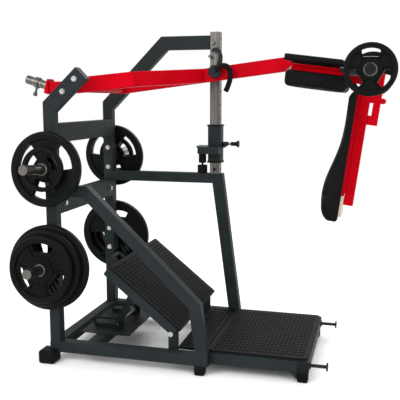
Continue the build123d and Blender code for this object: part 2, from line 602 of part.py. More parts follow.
def latch():
    """Latch hook: a hub, cheek and shaft through the arm, a claw behind it and a lever in front."""
    near, far = ARM_FAR_Y - ARM_WIDTH / 2, ARM_FAR_Y + ARM_WIDTH / 2
    shaft = rod_y(HUB_X, HUB_Z, SHAFT_R, near - 1, far + 22)
    hub = chamfer(rod_y(HUB_X, HUB_Z, 38, near - 26, near - 1).edges().filter_by(GeomType.CIRCLE), 3)
    cheek = prism([(HUB_X + x, HUB_Z + z) for x, z in ((-30, 6), (-34, 50), (-22, 64), (-2, 66),
                                                       (22, 40), (30, 6))], near - 13, near - 1)
    cheek = fillet(cheek.edges().filter_by(Axis.Y), 6)
    add("latch_hub", hub + cheek + shaft)
    body = [(-16, -20), (18, -14), (20, 16), (-10, 96), (-36, 126), (-66, 128), (-82, 116),
            (-86, 96), (-76, 92), (-66, 107), (-40, 105), (-28, 82)]
    claw = fillet(prism(body, far + 5, far + 17).edges().filter_by(Axis.Y), 3)
    claw = Pos(HUB_X, 0, HUB_Z) * Rot(0, CLAW_RELEASE, 0) * claw
    claw += rod_y(HUB_X, HUB_Z, 26, far + 5, far + 17)
    add("latch_claw", claw - rod_y(HUB_X, HUB_Z, SHAFT_R, far, far + 30))
    knots = ((24, 14), (50, 32), (74, 30), (94, 12), (101, -16), (97, -48), (88, -76), (76, -104))
    outline = trace(Polyline(*[(HUB_X + x, HUB_Z + z) for x, z in knots]), line_width=2 * LEVER_R)
    lever = Pos(0, near - 28, 0) * extrude(Plane.XZ * outline, amount=2 * LEVER_R, dir=(0, -1, 0))
    lever = chamfer(lever.faces().filter_by(Axis.Y).edges(), LEVER_R / 2)
    lever += rod_y(HUB_X + knots[0][0], HUB_Z + knots[0][1], 9, near - 32, near - 25)
    add("latch_lever", lever - hub)


def stop_carriage():
    """Sleeve that slides on the post: bushings, flange, stop bar, bumper and rod."""
    cx, cy = POST_X + TUBE / 2, SIDE_IN + TUBE / 2
    low, high = SLEEVE_Z
    sleeve = Pos(cx, cy, (low + high) / 2) * (
        fillet(Box(SLEEVE, SLEEVE, high - low).edges().filter_by(Axis.Z), 6)
        - Box(TUBE + 6, TUBE + 6, high - low + 2))
    sleeve -= rod_x(cy, PIN_Z, 11, cx, cx + SLEEVE)
    add("stop_sleeve", sleeve)
    ring = fillet(Box(SLEEVE + 8, SLEEVE + 8, 10).edges().filter_by(Axis.Z), 6) - Box(
        TUBE + 0.7, TUBE + 0.7, 12)
    add("stop_bushings", Pos(cx, cy, high + 5) * ring, Pos(cx, cy, low - 5) * ring)
    flange = Pos(cx - 26, cy, FLANGE_Z - 5) * fillet(
        Box(SLEEVE + 88, SLEEVE + 24, 10).edges().filter_by(Axis.Z), 10)
    flange -= Pos(cx, cy, FLANGE_Z) * Box(SLEEVE + 0.4, SLEEVE + 0.4, 40)
    bar = Pos(cx - 22, cy - SLEEVE / 2 - 42, FLANGE_Z - 21) * fillet(
        Box(130, 82, 42).edges().filter_by(Axis.Z), 20)
    web = Pos(cx - 22, cy - SLEEVE / 2 - 6, FLANGE_Z - 5) * Box(110, 12, 10)
    add("stop_bar", flange + bar + web
        - Pos(cx, cy, FLANGE_Z) * Box(SLEEVE + 0.4, SLEEVE + 0.4, 90))
    bumper_low = MID_TOP + 62
    bumper = Pos(BUMPER_X, cy, (bumper_low + FLANGE_Z - 10) / 2) * fillet(
        Cylinder(23, FLANGE_Z - 10 - bumper_low).edges(), 3)
    add("stop_bumper", bumper + Pos(BUMPER_X, cy, bumper_low - 5) * Cylinder(6, 12))
    lower = Pos(BUMPER_X, cy, MID_TOP + 24.5) * fillet(Cylinder(30, 49).edges(), 3)
    add("beam_bumper", lower)


def pop_pin():
    """Spring plunger of the stop carriage, shown pulled out of the post."""
    cx, cy = POST_X + TUBE / 2, SIDE_IN + TUBE / 2
    face = cx + SLEEVE / 2
    barrel = rod_x(cy, PIN_Z, 13, face, face + 38) - rod_x(cy, PIN_Z, 7.05, face - 1, face + 39)
    parts["stop_sleeve"].append(barrel)
    pin = rod_x(cy, PIN_Z, 7, POST_X + TUBE + 2, face + 62)
    knob = rod_x(cy, PIN_Z, 12, face + 56, face + 84)
    knob += Pos(face + 92, cy, PIN_Z) * Rot(0, 90, 0) * Cone(12, 21, 16)
    knob += rod_x(cy, PIN_Z, 21, face + 100, face + 104)
    knob -= rod_x(cy, PIN_Z, 7, face + 50, face + 62)
    add("pop_pin", pin)
    add("pop_pin_knob", knob)


def slope_frame(shape):
    """Move a shape from the footplate's own frame: hinge at the origin, top end towards -X."""
    return Pos(HINGE_X, 0, HINGE_Z) * Rot(0, FOOT_ANGLE, 0) * shape


def footplate():
    """Hinged footplate: plate on two side bars, mat, lifting handle and lugs for the prop."""
    mid = (FOOT_LOW_END + FOOT_HIGH_END) / 2
    length = FOOT_LOW_END - FOOT_HIGH_END
    bore = slope_frame(rod_y(0, 0, BOLT_R + 0.05, -SIDE_OUT, SIDE_OUT))
    bar = Pos(mid - 8, 0, BAR_MID) * fillet(
        Box(length - 12, BAR_T, BAR_DEPTH).edges().filter_by(Axis.Y), 12)
    bars = [slope_frame(Pos(0, sign * (FOOT_HALF - BAR_T / 2), 0) * bar) - bore
            for sign in (-1, 1)]
    plate_low = BAR_MID + BAR_DEPTH / 2
    plate = Pos(mid, 0, plate_low + PLATE_T / 2) * Box(length, 2 * FOOT_HALF, PLATE_T)
    add("footplate_plate", slope_frame(plate))
    rubber = extrude(RectangleRounded(length + 4, 2 * FOOT_HALF + 4, 14), amount=MAT_T)
    rubber = chamfer(rubber.faces().sort_by(Axis.Z)[-1].edges(), 2)
    add("footplate_mat", slope_frame(Pos(mid, 0, plate_low + PLATE_T) * rubber))
    x = FOOT_HIGH_END - 4
    y_mid, half, reach = -165, 52, 46
    path = FilletPolyline((x + 30, y_mid - half, plate_low - 9), (x - reach, y_mid - half, plate_low - 9),
                          (x - reach, y_mid + half, plate_low - 9), (x + 30, y_mid + half, plate_low - 9),
                          radius=26)
    handle = sweep(Plane(origin=path @ 0, z_dir=path % 0) * Circle(8), path=path)
    low, high = PROP_LUG
    lug = Pos(-PROP_RUN, (low + high) / 2, (plate_low - 16) / 2) * Box(40, high - low, plate_low + 16)
    lug -= rod_y(-PROP_RUN, 0, BOLT_R + 0.05, low - 1, high + 1)
    add("footplate_frame", *bars, slope_frame(handle), *[slope_frame(s) for s in both(lug)])


def prop():
    """Two legs hinged on lugs under the footplate; their foot rod slides in the guides."""
    pivot = slope_frame(Pos(-PROP_RUN, 0, 0) * Sphere(1)).center()
    foot = Vector(PROP_FOOT_X, 0, PROP_FOOT_Z)
    tip = PROP_LUG[1] + 0.5
    pin = rod_y(pivot.X, pivot.Z, BOLT_R, PROP_Y - 12, tip)
    pin += rod_y(pivot.X, pivot.Z, 14, tip, tip + 6)
    run = (foot - pivot).normalized()
    plane = Plane(origin=(pivot + foot) * 0.5 + Vector(0, -PROP_Y, 0), x_dir=run, z_dir=(0, 1, 0))
    length = (foot - pivot).length + 44
    leg = plane * fillet(Box(length, 40, 8).edges().filter_by(Axis.Z), 18)
    add("prop_legs", *both(leg - rod_y(pivot.X, pivot.Z, BOLT_R, -SIDE_OUT, SIDE_OUT)
                           - rod_y(foot.X, foot.Z, BOLT_R, -SIDE_OUT, SIDE_OUT)))
    rod_end = PROP_Y + 22
    add("prop_rods", *both(pin), rod_y(foot.X, foot.Z, BOLT_R, -rod_end, rod_end))


def prop_guides():
    """Two slotted plates on the base that the prop's foot rod slides in."""
    middle = (GUIDE_BACK + GUIDE_FRONT) / 2
    low, high = BASE_TOP + DECK_T, PROP_FOOT_Z + 25
    plate = Pos(middle, (low + high) / 2) * RectangleRounded(GUIDE_FRONT - GUIDE_BACK, high - low, 12)
    slot = Pos(middle, PROP_FOOT_Z) * SlotOverall(GUIDE_FRONT - GUIDE_BACK - 18, 26)
    guide = Plane.XZ * (plate - slot)
    return both(Pos(0, -PROP_Y + 18, 0) * extrude(guide, amount=8, dir=(0, -1, 0)))


def hinge_lugs():
    """Lugs on the base tubes and the hinge bolts through them and the footplate's bars."""
    low, high = -FOOT_HALF + BAR_T + 2, -FOOT_HALF + BAR_T + 14
    lug = prism([(HINGE_X - 24, BASE_TOP - 50), (HINGE_X + 30, BASE_TOP - 50),
                 (HINGE_X + 30, HINGE_Z + 4), (HINGE_X + 12, HINGE_Z + 20),
                 (HINGE_X - 12, HINGE_Z + 20), (HINGE_X - 24, HINGE_Z + 4)], low, high)
    web = prism([(HINGE_X - 24, BASE_TOP - 50), (HINGE_X + 30, BASE_TOP - 50),
                 (HINGE_X + 30, BASE_TOP - 6), (HINGE_X - 24, BASE_TOP - 6)], -SIDE_IN, high)
    lug = lug + web - rod_y(HINGE_X, HINGE_Z, BOLT_R, -SIDE_OUT, SIDE_OUT)
    add("footplate_mounts", *both(lug), *prop_guides())
    bolt = rod_y(HINGE_X, HINGE_Z, BOLT_R, -FOOT_HALF - 4, high + 14)
    bolt += rod_y(HINGE_X, HINGE_Z, 14, -FOOT_HALF - 12, -FOOT_HALF - 3)
    bolt += rod_y(HINGE_X, HINGE_Z, 13, high, high + 10)
    add("hinge_bolts", *both(bolt))


def build():
    """Model every node."""
    for make in (uprights, far_upper_frame, cross_members, far_lower_frame,
                 near_brace, base, mats, feet, band_pegs, post, catch_pin,
                 bearing_blocks, frame_bolts, storage_pegs, stored_plates, hinge_lugs,
                 arm_axle, press_arm, tail, carriage_head, pads, handles,
                 arm_pegs, latch, stop_carriage, pop_pin, footplate, prop):
        make()


def export():
    """Move the origin to the bottom centre of the machine and write one file per node."""
    os.makedirs("parts", exist_ok=True)
    box = Compound([solid for node in parts.values() for solid in node]).bounding_box()
    shift = Pos(-box.center().X, -box.center().Y, -box.min.Z)
    print("shift", [round(v, 3) for v in shift.position], "nodes", len(parts))
    for name, solids in parts.items():
        moved = [shift * solid for solid in solids]
        export_step(moved[0] if len(moved) == 1 else Compound(moved), f"parts/{name}.step")


build()
export()
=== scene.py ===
import json
import math

import bmesh
import bpy
from mathutils import Matrix, Vector


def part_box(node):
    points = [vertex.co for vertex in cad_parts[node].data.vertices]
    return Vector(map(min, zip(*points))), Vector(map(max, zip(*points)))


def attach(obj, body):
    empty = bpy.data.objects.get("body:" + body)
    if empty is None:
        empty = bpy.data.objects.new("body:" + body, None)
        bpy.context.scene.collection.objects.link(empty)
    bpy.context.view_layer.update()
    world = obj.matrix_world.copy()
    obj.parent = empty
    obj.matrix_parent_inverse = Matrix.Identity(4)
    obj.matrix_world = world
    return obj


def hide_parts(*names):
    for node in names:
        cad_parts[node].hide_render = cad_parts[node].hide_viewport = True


# Lever squat machine. Metres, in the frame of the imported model: +X towards the platform,
# +Y towards the side with the steel post, +Z up, origin on the floor below the middle.

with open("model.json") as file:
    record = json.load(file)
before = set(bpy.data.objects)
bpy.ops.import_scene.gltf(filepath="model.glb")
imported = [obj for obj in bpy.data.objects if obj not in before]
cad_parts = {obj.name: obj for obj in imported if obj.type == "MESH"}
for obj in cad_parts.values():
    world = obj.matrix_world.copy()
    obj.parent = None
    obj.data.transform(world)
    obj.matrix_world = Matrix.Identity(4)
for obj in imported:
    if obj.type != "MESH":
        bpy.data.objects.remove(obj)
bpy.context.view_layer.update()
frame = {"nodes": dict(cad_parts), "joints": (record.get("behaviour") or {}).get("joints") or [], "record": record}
scene = bpy.context.scene
nodes = frame["nodes"]
joints = {joint["name"]: joint for joint in frame["joints"]}
slot_of = {entry["node"]: entry["material_slot"] for entry in frame["record"]["subparts"]}
body_of = {node: body for body, members in frame["record"]["behaviour"]["bodies"].items()
           for node in members}

CARRIAGE_TILT = math.radians(7.3)
PAD_ROLL = math.radians(13)
FOOT_ANGLE = math.radians(39)
X_AXIS = Vector((1, 0, 0))
Y_AXIS = Vector((0, 1, 0))
Z_AXIS = Vector((0, 0, 1))


# ---- small helpers -----------------------------------------------------------------------------
def new_object(name, mesh, material, body):
    """A piece from a mesh in the row frame, with its finish, riding on a body."""
    piece = bpy.data.objects.new(name, mesh)
    scene.collection.objects.link(piece)
    mesh.materials.clear()
    mesh.materials.append(material)
    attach(piece, body)
    return piece


def mesh_from(bm, name):
    """A mesh with its normals facing out, from a bmesh that is done with."""
    mesh = bpy.data.meshes.new(name)
    bmesh.ops.recalc_face_normals(bm, faces=bm.faces)
    bm.to_mesh(mesh)
    bm.free()
    return mesh


def frustum(bm, base, across, up, sides, bottom, top, height):
    """Add a tapered prism standing on a face: base point, one direction across it and its normal."""
    other = up.cross(across)
    rings = []
    for radius, level in ((bottom, 0.0), (top, height)):
        ring = []
        for i in range(sides):
            angle = 2 * math.pi * i / sides
            offset = across * math.cos(angle) + other * math.sin(angle)
            ring.append(bm.verts.new(base + offset * radius + up * level))
        rings.append(ring)
    for i in range(sides):
        j = (i + 1) % sides
        bm.faces.new((rings[0][i], rings[0][j], rings[1][j], rings[1][i]))
    bm.faces.new(rings[1])
    bm.faces.new(rings[0][::-1])


# ---- materials ---------------------------------------------------------------------------------
def material(name, colour, roughness, metallic=0.0, specular=0.5):
    """A principled material and its node tree, ready for a pattern."""
    made = bpy.data.materials.new(name)
    made.use_nodes = True
    tree = made.node_tree
    shader = tree.nodes["Principled BSDF"]
    shader.inputs["Base Color"].default_value = (*colour, 1)
    shader.inputs["Roughness"].default_value = roughness
    shader.inputs["Metallic"].default_value = metallic
    shader.inputs["Specular IOR Level"].default_value = specular
    return made, tree, shader


def pattern(tree, kind, scale, stretch=(1, 1, 1), **settings):
    """A procedural texture on object coordinates."""
    coords = tree.nodes.new("ShaderNodeTexCoord")
    mapping = tree.nodes.new("ShaderNodeMapping")
    mapping.inputs["Scale"].default_value = stretch
    texture = tree.nodes.new(kind)
    texture.inputs["Scale"].default_value = scale
    for key, value in settings.items():
        texture.inputs[key.replace("_", " ")].default_value = value
    tree.links.new(coords.outputs["Object"], mapping.inputs["Vector"])
    tree.links.new(mapping.outputs["Vector"], texture.inputs["Vector"])
    return texture


def vary(tree, shader, source, socket, low, high):
    """Let a texture drive one number of the shader between two values."""
    spread = tree.nodes.new("ShaderNodeMapRange")
    spread.inputs["To Min"].default_value = low
    spread.inputs["To Max"].default_value = high
    tree.links.new(source, spread.inputs["Value"])
    tree.links.new(spread.outputs["Result"], shader.inputs[socket])


def tint(tree, shader, source, dark, light):
    """Let a texture mix two colours."""
    ramp = tree.nodes.new("ShaderNodeValToRGB")
    ramp.color_ramp.elements[0].position = 0.3
    ramp.color_ramp.elements[1].position = 0.7
    ramp.color_ramp.elements[0].color = (*dark, 1)
    ramp.color_ramp.elements[1].color = (*light, 1)
    tree.links.new(source, ramp.inputs["Fac"])
    tree.links.new(ramp.outputs["Color"], shader.inputs["Base Color"])


def relief(tree, shader, source, strength, distance):
    """Let a texture raise the surface."""
    bump = tree.nodes.new("ShaderNodeBump")
    bump.inputs["Strength"].default_value = strength
    bump.inputs["Distance"].default_value = distance
    tree.links.new(source, bump.inputs["Height"])
    tree.links.new(bump.outputs["Normal"], shader.inputs["Normal"])


def powder_coat(name, dark, light, roughness, specular):
    """Paint with a fine orange-peel surface and a slightly uneven sheen."""
    made, tree, shader = material(name, light, roughness, specular=specular)
    patches = pattern(tree, "ShaderNodeTexNoise", 9, Detail=4)
    tint(tree, shader, patches.outputs["Fac"], dark, light)
    vary(tree, shader, patches.outputs["Fac"], "Roughness", roughness - 0.06, roughness + 0.08)
    grain = pattern(tree, "ShaderNodeTexNoise", 650, Detail=2)
    relief(tree, shader, grain.outputs["Fac"], 0.18, 0.0006)
    return made


def brushed(name, dark, light, roughness, stretch):
    """Bare metal with long brush marks."""
    made, tree, shader = material(name, light, roughness, 1.0)
    marks = pattern(tree, "ShaderNodeTexNoise", 60, stretch, Detail=6)
    tint(tree, shader, marks.outputs["Fac"], dark, light)
    vary(tree, shader, marks.outputs["Fac"], "Roughness", roughness - 0.08, roughness + 0.12)
    relief(tree, shader, marks.outputs["Fac"], 0.08, 0.0004)
    return made


def rubber(name, dark, light, roughness, grain_scale, specular=0.05):
    """Matt moulded rubber with a fine grain."""
    made, tree, shader = material(name, light, roughness, specular=specular)
    patches = pattern(tree, "ShaderNodeTexNoise", 14, Detail=5)
    tint(tree, shader, patches.outputs["Fac"], dark, light)
    vary(tree, shader, patches.outputs["Fac"], "Roughness", roughness - 0.08, roughness + 0.1)
    grain = pattern(tree, "ShaderNodeTexNoise", grain_scale, Detail=3)
    relief(tree, shader, grain.outputs["Fac"], 0.3, 0.0008)
    return made


def leather(name):
    """Black upholstery vinyl with a pebbled grain."""
    made, tree, shader = material(name, (0.006, 0.006, 0.007), 0.5, specular=0.07)
    patches = pattern(tree, "ShaderNodeTexNoise", 12, Detail=3)
    tint(tree, shader, patches.outputs["Fac"], (0.0015, 0.0015, 0.002), (0.004, 0.004, 0.0045))
    vary(tree, shader, patches.outputs["Fac"], "Roughness", 0.44, 0.56)
    pebbles = pattern(tree, "ShaderNodeTexVoronoi", 420)
    relief(tree, shader, pebbles.outputs["Distance"], 0.25, 0.0008)
    return made


def board_wood(name):
    """Pale board with a faint grain."""
    made, tree, shader = material(name, (0.6, 0.52, 0.4), 0.6)
    grain = pattern(tree, "ShaderNodeTexNoise", 8, (1, 1, 12), Detail=6, Distortion=1.2)
    tint(tree, shader, grain.outputs["Fac"], (0.52, 0.42, 0.3), (0.68, 0.6, 0.48))
    relief(tree, shader, grain.outputs["Fac"], 0.1, 0.0006)
    return made


finishes = {
    "frame_paint": powder_coat("frame_paint", (0.010, 0.0145, 0.0155), (0.015, 0.020, 0.0215), 0.52, 0.1),
    "arm_paint": powder_coat("arm_paint", (0.37, 0.0, 0.004), (0.46, 0.0, 0.007), 0.44, 0.03),
    # The arm's red darkened as painted shade for the shoulder boards, with no specular.
    "board_paint": powder_coat("board_paint", (0.22, 0.0, 0.002), (0.3, 0.0, 0.004), 0.6, 0.0),
    "steel": brushed("steel", (0.075, 0.07, 0.063), (0.17, 0.16, 0.147), 0.36, (1, 1, 0.06)),
    "zinc": brushed("zinc", (0.3, 0.3, 0.3), (0.5, 0.5, 0.5), 0.3, (1, 1, 1)),
    "rubber_black": rubber("rubber_black", (0.003, 0.003, 0.0035), (0.007, 0.007, 0.0075), 0.56, 500),
    "plate_rubber": rubber("plate_rubber", (0.0015, 0.002, 0.002), (0.0035, 0.004, 0.004), 0.46, 420, 0.07),
    "pad_cover": leather("pad_cover"),
    "board": board_wood("board"),
    "black_plastic": rubber("black_plastic", (0.008, 0.008, 0.008), (0.012, 0.012, 0.012), 0.5, 900),
}

for node, obj in nodes.items():
    obj.data.materials.clear()
    obj.data.materials.append(finishes[slot_of[node]])
# The boards on the shoulder pads are a duller red than the arm: the arm's red darkened as painted shade.
nodes["shoulder_boards"].data.materials[0] = finishes["board_paint"]


# ---- cushions ----------------------------------------------------------------------------------
VOXEL = 0.006
SIM_FRAMES = 18
PRESSURE = 4.0
COVER_MASS = 0.3
STRETCH_STIFFNESS, SHEAR_STIFFNESS, BEND_STIFFNESS = 25, 10, 1.5
BOARD_HOLD = 0.003        # depth of cover that stays on its board
PIPING_RADIUS = 0.002
PIPING_STEP = 3           # every third point of the cut is kept
SHOULDER_BULGE, SHOULDER_PIPING = 0.006, 0.014
BACK_BULGE, BACK_PIPING = 0.007, 0.012


def pad_copy(node):
    """The CAD pad as an evenly meshed copy in the row frame."""
    source = nodes[node]
    mesh = source.data.copy()
    mesh.transform(source.matrix_world)
    pad = bpy.data.objects.new(node + "_cushion", mesh)
    scene.collection.objects.link(pad)
    remesh = pad.modifiers.new("even", "REMESH")
    remesh.mode = "VOXEL"
    remesh.voxel_size = VOXEL
    graph = bpy.context.evaluated_depsgraph_get()
    even = bpy.data.meshes.new_from_object(pad.evaluated_get(graph))
    pad.modifiers.clear()
    pad.data = even
    return pad


def inflate(pad, back, limit):
    """Fill the cover with pressure while its back stays on the board, and cap how far it bulges."""
    rest = [v.co.copy() for v in pad.data.vertices]
    plane = max(co.dot(back) for co in rest)
    group = pad.vertex_groups.new(name="on_board")
    group.add([i for i, co in enumerate(rest) if co.dot(back) > plane - BOARD_HOLD], 1.0, "REPLACE")
    cloth = pad.modifiers.new("fill", "CLOTH")
    settings = cloth.settings
    settings.vertex_group_mass = group.name
    settings.quality = 4
    settings.mass = COVER_MASS
    settings.tension_stiffness = STRETCH_STIFFNESS
    settings.compression_stiffness = STRETCH_STIFFNESS
    settings.shear_stiffness = SHEAR_STIFFNESS
    settings.bending_stiffness = BEND_STIFFNESS
    settings.use_pressure = True
    settings.uniform_pressure_force = PRESSURE
    settings.effector_weights.gravity = 0
    cloth.collision_settings.use_collision = False
    cloth.point_cache.frame_start = 1
    cloth.point_cache.frame_end = SIM_FRAMES
    for step in range(1, SIM_FRAMES + 1):
        scene.frame_set(step)
    graph = bpy.context.evaluated_depsgraph_get()
    shaped = [v.co.copy() for v in pad.evaluated_get(graph).data.vertices]
    pad.modifiers.clear()
    scene.frame_set(1)
    for vertex, start, end in zip(pad.data.vertices, rest, shaped):
        move = end - start
        if move.length > limit:
            move *= limit / move.length
        vertex.co = start + move


def welt(pad, back, depth, name):
    """Piping bead round a cushion, where a plane parallel to its back cuts it."""
    level = max(v.co.dot(back) for v in pad.data.vertices) - depth
    bm = bmesh.new()
    bm.from_mesh(pad.data)
    everything = bm.verts[:] + bm.edges[:] + bm.faces[:]
    cut = bmesh.ops.bisect_plane(bm, geom=everything, plane_co=back * level, plane_no=back)
    points = [v.co.copy() for v in cut["geom_cut"] if isinstance(v, bmesh.types.BMVert)]
    bm.free()
    middle = sum(points, Vector()) / len(points)
    across = back.orthogonal().normalized()
    other = back.cross(across)
    points.sort(key=lambda p: math.atan2((p - middle).dot(other), (p - middle).dot(across)))
    points = points[::PIPING_STEP]
    curve = bpy.data.curves.new(name, "CURVE")
    curve.dimensions = "3D"
    curve.bevel_depth = PIPING_RADIUS
    curve.bevel_resolution = 3
    line = curve.splines.new("POLY")
    line.points.add(len(points) - 1)
    for point, co in zip(line.points, points):
        point.co = (*co, 1)
    line.use_cyclic_u = True
    curve.materials.append(finishes["pad_cover"])
    bead = bpy.data.objects.new(name, curve)
    scene.collection.objects.link(bead)
    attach(bead, "press_arm")


def cushion(node, back, limit, depth):
    """A crowned cushion in place of the plain CAD pad."""
    pad = pad_copy(node)
    inflate(pad, back, limit)
    pad.data.materials.clear()
    pad.data.materials.append(finishes["pad_cover"])
    pad.data.shade_smooth()
    smooth = pad.modifiers.new("smooth", "SUBSURF")
    smooth.levels = smooth.render_levels = 1
    welt(pad, back, depth, node + "_piping")
    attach(pad, "press_arm")
    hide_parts(node)


tilt = Matrix.Rotation(CARRIAGE_TILT, 3, "Y")
for side, sign in (("near", -1), ("far", 1)):
    roll = Matrix.Rotation(-sign * PAD_ROLL, 3, "X")
    cushion(side + "_shoulder_pad", tilt @ roll @ Z_AXIS, SHOULDER_BULGE, SHOULDER_PIPING)
cushion("back_pad", tilt @ X_AXIS, BACK_BULGE, BACK_PIPING)


# ---- studded mats ------------------------------------------------------------------------------
STUD_PITCH_ALONG, STUD_PITCH_ACROSS = 0.0215, 0.039
STUD_WIDTH, STUD_LENGTH, STUD_HEIGHT, STUD_TOP = 0.0145, 0.030, 0.004, 0.7
MAT_EDGE = 0.014


def bar(bm, start, end, up, width, height, top=0.5):
    """A low ridge from one point to another, its top smaller than its foot."""
    run = (end - start).normalized()
    side = up.cross(run)
    loops = []
    for part, level in ((1.0, 0.0), (top, height)):
        half = width / 2 * part
        inset = run * (width / 2 - half)
        corners = ((start + inset, -half), (end - inset, -half), (end - inset, half), (start + inset, half))
        loops.append([bm.verts.new(point + side * reach + up * level) for point, reach in corners])
    for i in range(4):
        j = (i + 1) % 4
        bm.faces.new((loops[0][i], loops[0][j], loops[1][j], loops[1][i]))
    bm.faces.new(loops[1])
    bm.faces.new(loops[0][::-1])


def studs(name, corner, along, across, length, width, body):
    """A grid of oblong studs on a mat, from one corner of its top face."""
    up = along.cross(across)
    columns = int((length - 2 * MAT_EDGE) / STUD_PITCH_ALONG)
    rows = int((width - 2 * MAT_EDGE) / STUD_PITCH_ACROSS)
    start_x = (length - (columns - 1) * STUD_PITCH_ALONG) / 2
    start_y = (width - (rows - 1) * STUD_PITCH_ACROSS) / 2
    half = across * (STUD_LENGTH / 2)
    bm = bmesh.new()
    for i in range(columns):
        for j in range(rows):
            base = corner + along * (start_x + i * STUD_PITCH_ALONG)
            base = base + across * (start_y + j * STUD_PITCH_ACROSS)
            bar(bm, base - half, base + half, up, STUD_WIDTH, STUD_HEIGHT, STUD_TOP)
    new_object(name, mesh_from(bm, name), finishes["rubber_black"], body)


for mat in ("front_mat", "rear_mat"):
    low, high = (Vector(corner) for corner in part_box(mat))
    size = high - low
    studs(mat + "_studs", Vector((low.x, low.y, high.z)), X_AXIS, Y_AXIS, size.x, size.y, "frame")

# The footplate's mat from its hinge: lower end and length down the slope, and height off it.
MAT_LOW_END, MAT_LENGTH, MAT_TOP = 0.028, 0.505, 0.051
down_slope = Vector((math.cos(FOOT_ANGLE), 0, -math.sin(FOOT_ANGLE)))
off_slope = Vector((math.sin(FOOT_ANGLE), 0, math.cos(FOOT_ANGLE)))
hinge = Vector(joints["footplate_angle"]["pos_m"])
low, high = (Vector(corner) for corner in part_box("footplate_mat"))
top_end = hinge + down_slope * (MAT_LOW_END - MAT_LENGTH) + off_slope * MAT_TOP
studs("footplate_studs", Vector((top_end.x, low.y, top_end.z)), down_slope, Y_AXIS,
      MAT_LENGTH, high.y - low.y, "footplate")


# ---- weight plate faces ------------------------------------------------------------------------
PEG_BORE = 0.0256
ROUND_STEPS = 48
RING_BEVEL = 0.003
FACE_DEPTH = 0.002        # points this near the outermost one belong to the outer face
RIDGE_WIDTH, RIDGE_HEIGHT, RIDGE_ANGLE = 0.008, 0.006, 35
RIDGE_OVERLAP = 0.96
WEB_DEPTH = 0.02
BORE_RING_WIDTH, BORE_RING_HEIGHT = 0.007, 0.003
# Shares of a plate's radius: round hub, raised hexagon, inside of the rim.
HUB_START, HEXAGON, RIM_START = 0.36, 0.47, 0.8
# For each stack: radius of the outer plate, turn of its grip holes, depth of its sunk web, and the
# share of the radius that a plain hexagonal web fills inside the grip holes.
PLATE_FACES = {"upper_plates": (0.115, 30, 0.007, None),
               "lower_plates": (0.175, 85, 0.0088, 0.61),
               "arm_plate": (0.125, 97, 0.0075, 0.56)}


def ring(bm, centre, axis, across, sides, outer, inner, height):
    """A raised ring round an axis: polygon outside with a flat towards across, round inside."""
    other = axis.cross(across)
    loops = []
    for radius, level, polygon in ((outer, 0.0, True), (outer - RING_BEVEL, height, True),
                                   (inner, height, False), (inner, 0.0, False)):
        loop = []
        for i in range(ROUND_STEPS):
            angle = 2 * math.pi * i / ROUND_STEPS
            reach = radius
            if polygon:
                local = (angle + math.pi / sides) % (2 * math.pi / sides) - math.pi / sides
                reach = radius * math.cos(math.pi / sides) / math.cos(local)
            loop.append(bm.verts.new(centre + axis * level
                                     + (across * math.cos(angle) + other * math.sin(angle)) * reach))
        loops.append(loop)
    for a, b in zip(loops, loops[1:] + loops[:1]):
        for i in range(ROUND_STEPS):
            j = (i + 1) % ROUND_STEPS
            bm.faces.new((a[i], a[j], b[j], b[i]))


def outer_face(node, axis):
    """Middle of the outermost plate's outer face."""
    obj = nodes[node]
    points = [obj.matrix_world @ v.co for v in obj.data.vertices]
    level = max(p.dot(axis) for p in points)
    face = [p for p in points if p.dot(axis) > level - FACE_DEPTH]
    low = Vector([min(p[i] for p in face) for i in range(3)])
    high = Vector([max(p[i] for p in face) for i in range(3)])
    centre = (low + high) / 2
    return centre + axis * (level - centre.dot(axis))


def plate_details(node, radius, turn, sunk, web_reach):
    """Ridges beside the outer plate's grip holes, its hexagonal hub if it has one, and a bore ring."""
    axis = Vector(joints[node + "_slide"]["axis"]).normalized()
    face = outer_face(node, axis)
    web = face - axis * sunk
    lean = CARRIAGE_TILT if "arm" in node else 0.0
    level = Vector((math.cos(lean), 0, -math.sin(lean)))
    rise = axis.cross(level)
    rise = rise if rise.z > 0 else -rise

    def outward(degrees):
        angle = math.radians(degrees)
        return level * math.cos(angle) + rise * math.sin(angle)

    bm = bmesh.new()
    start = HUB_START * radius
    if web_reach:
        start = HEXAGON * radius
        flat = outward(turn)
        bore = PEG_BORE + 0.001
        ring(bm, web - axis * WEB_DEPTH, axis, flat, 6, web_reach * radius, bore, WEB_DEPTH + 0.0005)
        ring(bm, web - axis * 0.002, axis, flat, 6, start, bore, 0.002 + RIDGE_HEIGHT)
    for hole in range(3):
        for offset in (-RIDGE_ANGLE, RIDGE_ANGLE):
            away = outward(turn + 120 * hole + offset)
            bar(bm, web + away * start * RIDGE_OVERLAP, web + away * RIM_START * radius, axis,
                RIDGE_WIDTH, RIDGE_HEIGHT)
    name = node + "_ridges"
    new_object(name, mesh_from(bm, name), finishes["plate_rubber"], body_of[node])
    bm = bmesh.new()
    ring(bm, face, axis, level, ROUND_STEPS, PEG_BORE + BORE_RING_WIDTH, PEG_BORE + 0.0005,
         BORE_RING_HEIGHT)
    name = node + "_bore_ring"
    new_object(name, mesh_from(bm, name), finishes["steel"], body_of[node])


for side in ("near", "far"):
    for stack, values in PLATE_FACES.items():
        plate_details(f"{side}_{stack}", *values)


# ---- latch -------------------------------------------------------------------------------------
def round_bar(name, points, radius, finish, body):
    """A smooth round bar through points, with round ends."""
    curve = bpy.data.curves.new(name, "CURVE")
    curve.dimensions = "3D"
    line = curve.splines.new("NURBS")
    line.points.add(len(points) - 1)
    for point, co in zip(line.points, points):
        point.co = (*co, 1)
    line.order_u = 4
    line.use_endpoint_u = True
    line.resolution_u = 12
    curve.bevel_depth = radius
    curve.bevel_resolution = 6
    curve.use_fill_caps = True
    curve.materials.append(finish)
    made = bpy.data.objects.new(name, curve)
    scene.collection.objects.link(made)
    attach(made, body)
    return made


